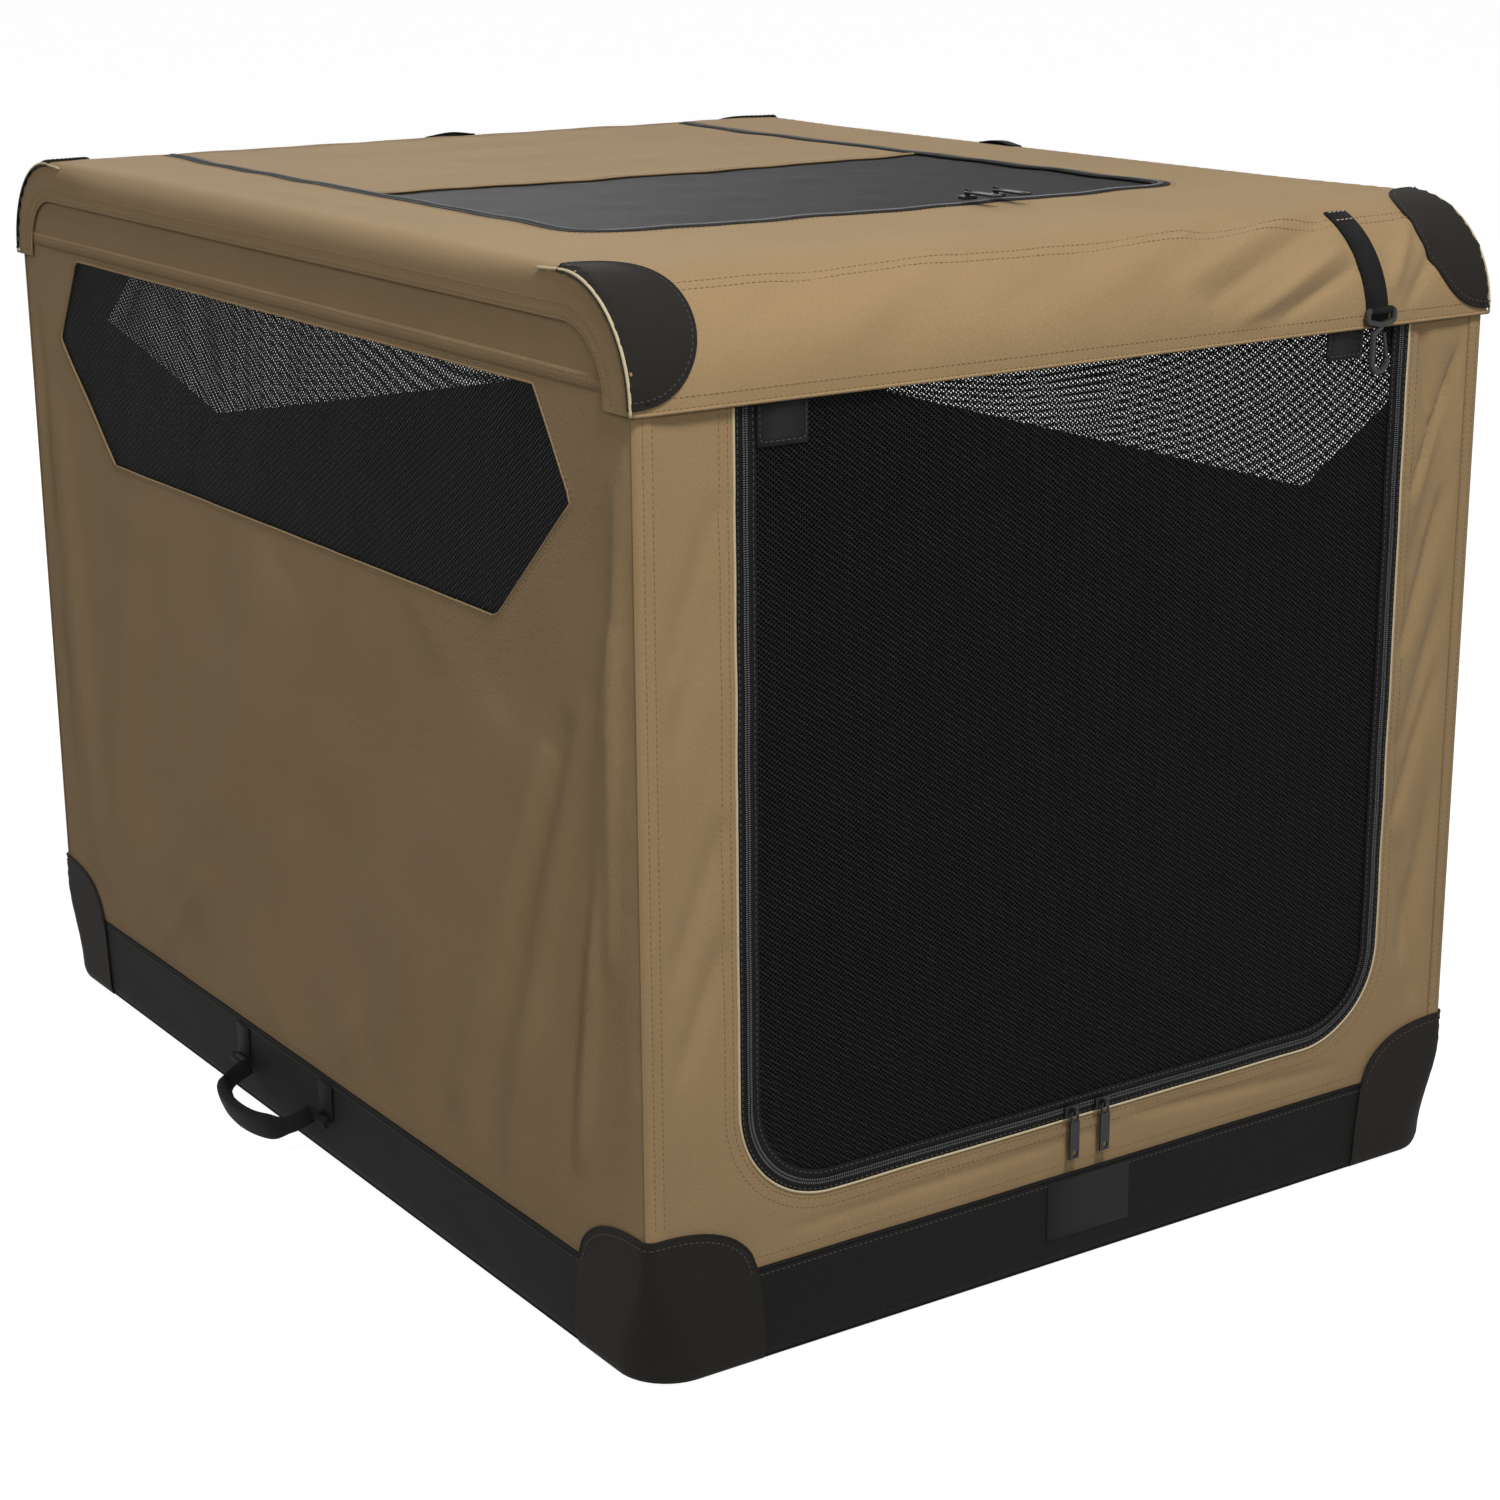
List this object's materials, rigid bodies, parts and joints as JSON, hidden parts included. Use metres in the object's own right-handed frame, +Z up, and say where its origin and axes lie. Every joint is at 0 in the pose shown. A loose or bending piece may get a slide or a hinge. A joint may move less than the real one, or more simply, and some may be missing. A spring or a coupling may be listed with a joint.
{
  "type": "soft folding dog crate",
  "caption": "Soft-sided dog crate on a steel frame that folds flat at locking side knees, with zipped mesh doors at the front and top and mesh windows.",
  "frame": {"origin": "on the underside of the base, below the middle of the cloth cabin", "axes": "-Y is the front with the large zipped door, -X is the side with the carry handle, +Z is up"},
  "size_m": [0.8367, 1.076, 0.7955],
  "materials": {
    "tan_cloth": "fine twill polyester",
    "black_cloth": "coated polyester",
    "black_mesh": "open knitted mesh",
    "black_webbing": "woven tape",
    "frame_steel": "dark powder coat",
    "hinge_steel": "plated",
    "black_plastic": "moulded",
    "zip_metal": "black enamel"
  },
  "bodies": {
    "base": {"base_tray": "black_cloth", "base_frame": "frame_steel", "base_patch_front_left": "black_cloth", "base_patch_front_right": "black_cloth", "base_patch_rear_left": "black_cloth", "base_patch_rear_right": "black_cloth", "front_panel": "tan_cloth", "front_zip_tape": "black_webbing", "rear_panel": "tan_cloth", "rear_window": "black_mesh", "crease_left": "tan_cloth", "crease_right": "tan_cloth", "handle_anchor_front": "black_webbing", "handle_anchor_rear": "black_webbing"},
    "lower_left": {"lower_hoop_left": "frame_steel", "lower_skin_left": "tan_cloth", "knee_clevis_front_left": "hinge_steel", "knee_clevis_rear_left": "hinge_steel"},
    "lower_right": {"lower_hoop_right": "frame_steel", "lower_skin_right": "tan_cloth", "knee_clevis_front_right": "hinge_steel", "knee_clevis_rear_right": "hinge_steel"},
    "upper_left": {"upper_hoop_left": "frame_steel", "upper_skin_left": "tan_cloth", "side_window_left": "black_mesh", "knee_tongue_front_left": "hinge_steel", "knee_tongue_rear_left": "hinge_steel"},
    "upper_right": {"upper_hoop_right": "frame_steel", "upper_skin_right": "tan_cloth", "side_window_right": "black_mesh", "knee_tongue_front_right": "hinge_steel", "knee_tongue_rear_right": "hinge_steel"},
    "top": {"top_bar_front": "frame_steel", "top_bar_rear": "frame_steel", "top_shell": "tan_cloth", "top_cap_front_left": "black_cloth", "top_cap_front_right": "black_cloth", "top_cap_rear_left": "black_cloth", "top_cap_rear_right": "black_cloth", "top_zip_tape": "black_webbing", "rear_loop": "black_webbing", "right_loop": "black_webbing"},
    "top_door": {"top_door_cloth": "tan_cloth", "top_door_mesh": "black_mesh"},
    "front_door": {"front_door_border": "black_webbing", "front_door_mesh": "black_mesh"},
    "front_slider_left": {"front_slider_left": "zip_metal"},
    "front_slider_right": {"front_slider_right": "zip_metal"},
    "front_pull_left": {"front_pull_left": "zip_metal"},
    "front_pull_right": {"front_pull_right": "zip_metal"},
    "top_slider_left": {"top_slider_left": "zip_metal"},
    "top_slider_right": {"top_slider_right": "zip_metal"},
    "top_pull_left": {"top_pull_left": "zip_metal"},
    "top_pull_right": {"top_pull_right": "zip_metal"},
    "strap": {"door_strap": "black_webbing", "snap_hook": "black_plastic"},
    "hook_gate": {"hook_gate": "black_plastic"},
    "handle": {"handle_grip": "black_webbing"}
  },
  "joints": [
    {"name": "fold", "type": "hinge", "parent": "base", "child": "lower_left", "pos_m": [-0.3746, 0, 0.045], "axis": [0, 1, 0], "range_deg": [0, 85], "deforming": ["front_panel", "front_zip_tape", "rear_panel", "rear_window", "crease_left", "crease_right", "front_door_border", "front_door_mesh", "front_slider_left", "front_slider_right", "front_pull_left", "front_pull_right", "base_patch_front_left", "base_patch_front_right", "base_patch_rear_left", "base_patch_rear_right"]},
    {"name": "knee_left", "type": "hinge", "parent": "lower_left", "child": "upper_left", "pos_m": [-0.3836, 0, 0.4025], "axis": [0, 1, 0], "range_deg": [-170, 0]},
    {"name": "top_left", "type": "hinge", "parent": "upper_left", "child": "top", "pos_m": [-0.3746, 0, 0.76], "axis": [0, 1, 0], "range_deg": [0, 85]},
    {"name": "fold_right", "type": "hinge", "parent": "base", "child": "lower_right", "pos_m": [0.3746, 0, 0.045], "axis": [0, 1, 0], "range_deg": [-85, 0]},
    {"name": "knee_right", "type": "hinge", "parent": "lower_right", "child": "upper_right", "pos_m": [0.3836, 0, 0.4025], "axis": [0, 1, 0], "range_deg": [0, 170]},
    {"name": "front_door", "type": "hinge", "parent": "base", "child": "front_door", "pos_m": [0, -0.5304, 0.6985], "axis": [1, 0, 0], "range_deg": [-90, 0]},
    {"name": "top_door", "type": "hinge", "parent": "top", "child": "top_door", "pos_m": [0, 0.4397, 0.787], "axis": [1, 0, 0], "range_deg": [-110, 0]},
    {"name": "front_zip_left", "type": "slide", "parent": "base", "child": "front_slider_left", "axis": [1, 0, 0], "range_m": [-0.21, 0]},
    {"name": "front_zip_right", "type": "slide", "parent": "base", "child": "front_slider_right", "axis": [1, 0, 0], "range_m": [0, 0.2]},
    {"name": "front_pull_left", "type": "hinge", "parent": "front_slider_left", "child": "front_pull_left", "pos_m": [-0.01, -0.5361, 0.1263], "axis": [-1, 0, 0], "range_deg": [0, 110]},
    {"name": "front_pull_right", "type": "hinge", "parent": "front_slider_right", "child": "front_pull_right", "pos_m": [0.02, -0.5361, 0.1263], "axis": [-1, 0, 0], "range_deg": [0, 110]},
    {"name": "top_zip_left", "type": "slide", "parent": "top", "child": "top_slider_left", "axis": [1, 0, 0], "range_m": [-0.29, 0]},
    {"name": "top_zip_right", "type": "slide", "parent": "top", "child": "top_slider_right", "axis": [1, 0, 0], "range_m": [0, 0.14]},
    {"name": "top_pull_left", "type": "hinge", "parent": "top_slider_left", "child": "top_pull_left", "pos_m": [0.066, -0.2917, 0.7927], "axis": [-1, 0, 0], "range_deg": [0, 150]},
    {"name": "top_pull_right", "type": "hinge", "parent": "top_slider_right", "child": "top_pull_right", "pos_m": [0.094, -0.2917, 0.7927], "axis": [-1, 0, 0], "range_deg": [0, 150]},
    {"name": "strap_swing", "type": "hinge", "parent": "top", "child": "strap", "pos_m": [0.27, -0.47223, 0.78476], "axis": [1, 0, 0], "range_deg": [-120, 0]},
    {"name": "hook_gate", "type": "hinge", "parent": "strap", "child": "hook_gate", "pos_m": [0.2739, -0.5382, 0.6949], "axis": [0, 1, 0], "range_deg": [0, 20], "stiffness_Nm_per_rad": 0.02},
    {"name": "handle_swing", "type": "hinge", "parent": "base", "child": "handle", "pos_m": [-0.3962, 0.052, 0.036], "axis": [0, 1, 0], "range_deg": [0, 95]}
  ],
  "couplings": [
    {"joint": "knee_left", "follows": "fold", "ratio": -2},
    {"joint": "top_left", "follows": "fold", "ratio": 1},
    {"joint": "fold_right", "follows": "fold", "ratio": -1},
    {"joint": "knee_right", "follows": "fold", "ratio": 2}
  ]
}
